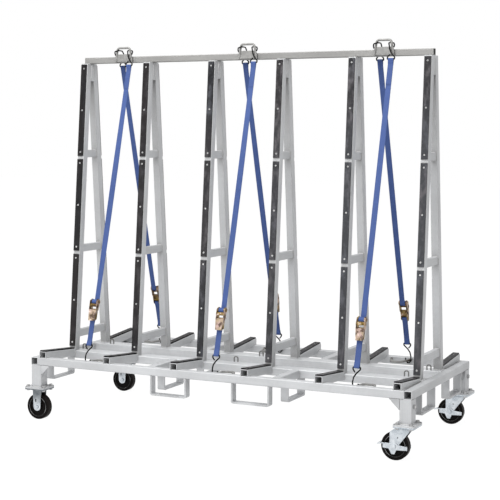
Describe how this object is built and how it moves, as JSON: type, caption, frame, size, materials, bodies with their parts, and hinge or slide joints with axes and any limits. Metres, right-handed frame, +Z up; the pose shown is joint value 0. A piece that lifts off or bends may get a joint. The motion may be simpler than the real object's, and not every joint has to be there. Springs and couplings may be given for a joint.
{
  "type": "transport cart",
  "caption": "Wheeled cart with A-frames under one top rail, rubber-faced legs and sloping bunks, fork loops and ratchet straps, for moving upright sheets.",
  "frame": {"origin": "on the floor under the middle of the base", "axes": "+X towards the swivel casters, +Y towards the rear, +Z up"},
  "size_m": [2.0383, 0.9208, 1.86],
  "materials": {
    "frame_metal": "satin",
    "strip_rubber": "matte",
    "bright_fastener": "bright zinc",
    "zinc_plate": "zinc plated",
    "wheel_black": "matte",
    "black_wire": "dipped coating",
    "blue_webbing": "woven",
    "gold_zinc": "yellow zinc"
  },
  "bodies": {
    "cart": {"side_rails": "frame_metal", "end_rails": "frame_metal", "sill_rails": "frame_metal", "cross_members": "frame_metal", "corner_posts": "frame_metal", "post_gussets": "frame_metal", "post_bolts": "bright_fastener", "caster_pads": "zinc_plate", "caster_bolts": "bright_fastener", "side_fork_loops": "frame_metal", "end_fork_loops": "frame_metal", "bunks": "frame_metal", "bunk_rubbers": "strip_rubber", "strip_screws": "bright_fastener", "a_frame_legs": "frame_metal", "head_plates": "frame_metal", "a_frame_rungs": "frame_metal", "leg_rubbers": "strip_rubber", "top_rail": "frame_metal", "top_rings": "frame_metal", "base_rings": "frame_metal", "rail_staples": "frame_metal", "upper_hooks": "black_wire", "lower_hooks": "black_wire", "ratchet_frames": "gold_zinc", "ratchet_pins": "gold_zinc", "long_straps": "blue_webbing", "short_straps": "blue_webbing", "rigid_forks": "zinc_plate", "rigid_axles": "bright_fastener", "swivel_plates": "zinc_plate", "king_pins": "bright_fastener"},
    "rigid_wheel_front": {"rigid_wheel_front": "wheel_black"},
    "swivel_fork_front": {"swivel_fork_front": "zinc_plate", "swivel_axle_front": "bright_fastener"},
    "swivel_wheel_front": {"swivel_wheel_front": "wheel_black"},
    "brake_lever_front": {"brake_lever_front": "zinc_plate"},
    "rigid_wheel_rear": {"rigid_wheel_rear": "wheel_black"},
    "swivel_fork_rear": {"swivel_fork_rear": "zinc_plate", "swivel_axle_rear": "bright_fastener"},
    "swivel_wheel_rear": {"swivel_wheel_rear": "wheel_black"},
    "brake_lever_rear": {"brake_lever_rear": "zinc_plate"},
    "ratchet_handle_front_1": {"ratchet_handle_front_1": "gold_zinc"},
    "ratchet_spool_front_1": {"ratchet_spool_front_1": "gold_zinc"},
    "ratchet_pawl_front_1": {"ratchet_pawl_front_1": "gold_zinc"},
    "ratchet_handle_rear_1": {"ratchet_handle_rear_1": "gold_zinc"},
    "ratchet_spool_rear_1": {"ratchet_spool_rear_1": "gold_zinc"},
    "ratchet_pawl_rear_1": {"ratchet_pawl_rear_1": "gold_zinc"},
    "ratchet_handle_front_2": {"ratchet_handle_front_2": "gold_zinc"},
    "ratchet_spool_front_2": {"ratchet_spool_front_2": "gold_zinc"},
    "ratchet_pawl_front_2": {"ratchet_pawl_front_2": "gold_zinc"},
    "ratchet_handle_rear_2": {"ratchet_handle_rear_2": "gold_zinc"},
    "ratchet_spool_rear_2": {"ratchet_spool_rear_2": "gold_zinc"},
    "ratchet_pawl_rear_2": {"ratchet_pawl_rear_2": "gold_zinc"},
    "ratchet_handle_front_3": {"ratchet_handle_front_3": "gold_zinc"},
    "ratchet_spool_front_3": {"ratchet_spool_front_3": "gold_zinc"},
    "ratchet_pawl_front_3": {"ratchet_pawl_front_3": "gold_zinc"},
    "ratchet_handle_rear_3": {"ratchet_handle_rear_3": "gold_zinc"},
    "ratchet_spool_rear_3": {"ratchet_spool_rear_3": "gold_zinc"},
    "ratchet_pawl_rear_3": {"ratchet_pawl_rear_3": "gold_zinc"}
  },
  "joints": [
    {"name": "rigid_wheel_front_spin", "type": "hinge", "parent": "cart", "child": "rigid_wheel_front", "pos_m": [-0.96203, -0.40323, 0.0635], "axis": [0, 1, 0], "continuous": true},
    {"name": "caster_swivel_front", "type": "hinge", "parent": "cart", "child": "swivel_fork_front", "pos_m": [0.96203, -0.40323, 0.139], "axis": [0, 0, 1], "continuous": true},
    {"name": "swivel_wheel_front_spin", "type": "hinge", "parent": "swivel_fork_front", "child": "swivel_wheel_front", "pos_m": [0.91002, -0.40323, 0.0635], "axis": [0, 1, 0], "continuous": true},
    {"name": "brake_lever_front_press", "type": "hinge", "parent": "swivel_fork_front", "child": "brake_lever_front", "pos_m": [0.91002, -0.40323, 0.0635], "axis": [0, -1, 0], "range_deg": [0, 14]},
    {"name": "rigid_wheel_rear_spin", "type": "hinge", "parent": "cart", "child": "rigid_wheel_rear", "pos_m": [-0.96203, 0.40323, 0.0635], "axis": [0, 1, 0], "continuous": true},
    {"name": "caster_swivel_rear", "type": "hinge", "parent": "cart", "child": "swivel_fork_rear", "pos_m": [0.96203, 0.40323, 0.139], "axis": [0, 0, 1], "continuous": true},
    {"name": "swivel_wheel_rear_spin", "type": "hinge", "parent": "swivel_fork_rear", "child": "swivel_wheel_rear", "pos_m": [0.91002, 0.40323, 0.0635], "axis": [0, 1, 0], "continuous": true},
    {"name": "brake_lever_rear_press", "type": "hinge", "parent": "swivel_fork_rear", "child": "brake_lever_rear", "pos_m": [0.91002, 0.40323, 0.0635], "axis": [0, -1, 0], "range_deg": [0, 14]},
    {"name": "ratchet_spool_front_1_turn", "type": "hinge", "parent": "cart", "child": "ratchet_spool_front_1", "pos_m": [-0.68752, -0.31867, 0.59113], "axis": [0.9998, -0.0049, -0.0206], "continuous": true},
    {"name": "ratchet_handle_front_1_lift", "type": "hinge", "parent": "cart", "child": "ratchet_handle_front_1", "pos_m": [-0.68752, -0.31867, 0.59113], "axis": [-0.9998, 0.0049, 0.0206], "range_deg": [0, 150]},
    {"name": "ratchet_pawl_front_1_pull", "type": "slide", "parent": "ratchet_handle_front_1", "child": "ratchet_pawl_front_1", "axis": [-0.0212, -0.2327, -0.9723], "range_m": [0, 0.006], "stiffness_N_per_m": 300, "springref_m": -0.005},
    {"name": "ratchet_spool_rear_1_turn", "type": "hinge", "parent": "cart", "child": "ratchet_spool_rear_1", "pos_m": [-0.71648, 0.31867, 0.59113], "axis": [-0.9998, 0.0049, -0.0206], "continuous": true},
    {"name": "ratchet_handle_rear_1_lift", "type": "hinge", "parent": "cart", "child": "ratchet_handle_rear_1", "pos_m": [-0.71648, 0.31867, 0.59113], "axis": [0.9998, -0.0049, 0.0206], "range_deg": [0, 150]},
    {"name": "ratchet_pawl_rear_1_pull", "type": "slide", "parent": "ratchet_handle_rear_1", "child": "ratchet_pawl_rear_1", "axis": [0.0212, 0.2327, -0.9723], "range_m": [0, 0.006], "stiffness_N_per_m": 300, "springref_m": -0.005},
    {"name": "ratchet_spool_front_2_turn", "type": "hinge", "parent": "cart", "child": "ratchet_spool_front_2", "pos_m": [0.01448, -0.31867, 0.59113], "axis": [0.9998, -0.0049, -0.0206], "continuous": true},
    {"name": "ratchet_handle_front_2_lift", "type": "hinge", "parent": "cart", "child": "ratchet_handle_front_2", "pos_m": [0.01448, -0.31867, 0.59113], "axis": [-0.9998, 0.0049, 0.0206], "range_deg": [0, 150]},
    {"name": "ratchet_pawl_front_2_pull", "type": "slide", "parent": "ratchet_handle_front_2", "child": "ratchet_pawl_front_2", "axis": [-0.0212, -0.2327, -0.9723], "range_m": [0, 0.006], "stiffness_N_per_m": 300, "springref_m": -0.005},
    {"name": "ratchet_spool_rear_2_turn", "type": "hinge", "parent": "cart", "child": "ratchet_spool_rear_2", "pos_m": [-0.01448, 0.31867, 0.59113], "axis": [-0.9998, 0.0049, -0.0206], "continuous": true},
    {"name": "ratchet_handle_rear_2_lift", "type": "hinge", "parent": "cart", "child": "ratchet_handle_rear_2", "pos_m": [-0.01448, 0.31867, 0.59113], "axis": [0.9998, -0.0049, 0.0206], "range_deg": [0, 150]},
    {"name": "ratchet_pawl_rear_2_pull", "type": "slide", "parent": "ratchet_handle_rear_2", "child": "ratchet_pawl_rear_2", "axis": [0.0212, 0.2327, -0.9723], "range_m": [0, 0.006], "stiffness_N_per_m": 300, "springref_m": -0.005},
    {"name": "ratchet_spool_front_3_turn", "type": "hinge", "parent": "cart", "child": "ratchet_spool_front_3", "pos_m": [0.71648, -0.31867, 0.59113], "axis": [0.9998, -0.0049, -0.0206], "continuous": true},
    {"name": "ratchet_handle_front_3_lift", "type": "hinge", "parent": "cart", "child": "ratchet_handle_front_3", "pos_m": [0.71648, -0.31867, 0.59113], "axis": [-0.9998, 0.0049, 0.0206], "range_deg": [0, 150]},
    {"name": "ratchet_pawl_front_3_pull", "type": "slide", "parent": "ratchet_handle_front_3", "child": "ratchet_pawl_front_3", "axis": [-0.0212, -0.2327, -0.9723], "range_m": [0, 0.006], "stiffness_N_per_m": 300, "springref_m": -0.005},
    {"name": "ratchet_spool_rear_3_turn", "type": "hinge", "parent": "cart", "child": "ratchet_spool_rear_3", "pos_m": [0.68752, 0.31867, 0.59113], "axis": [-0.9998, 0.0049, -0.0206], "continuous": true},
    {"name": "ratchet_handle_rear_3_lift", "type": "hinge", "parent": "cart", "child": "ratchet_handle_rear_3", "pos_m": [0.68752, 0.31867, 0.59113], "axis": [0.9998, -0.0049, 0.0206], "range_deg": [0, 150]},
    {"name": "ratchet_pawl_rear_3_pull", "type": "slide", "parent": "ratchet_handle_rear_3", "child": "ratchet_pawl_rear_3", "axis": [0.0212, 0.2327, -0.9723], "range_m": [0, 0.006], "stiffness_N_per_m": 300, "springref_m": -0.005}
  ]
}
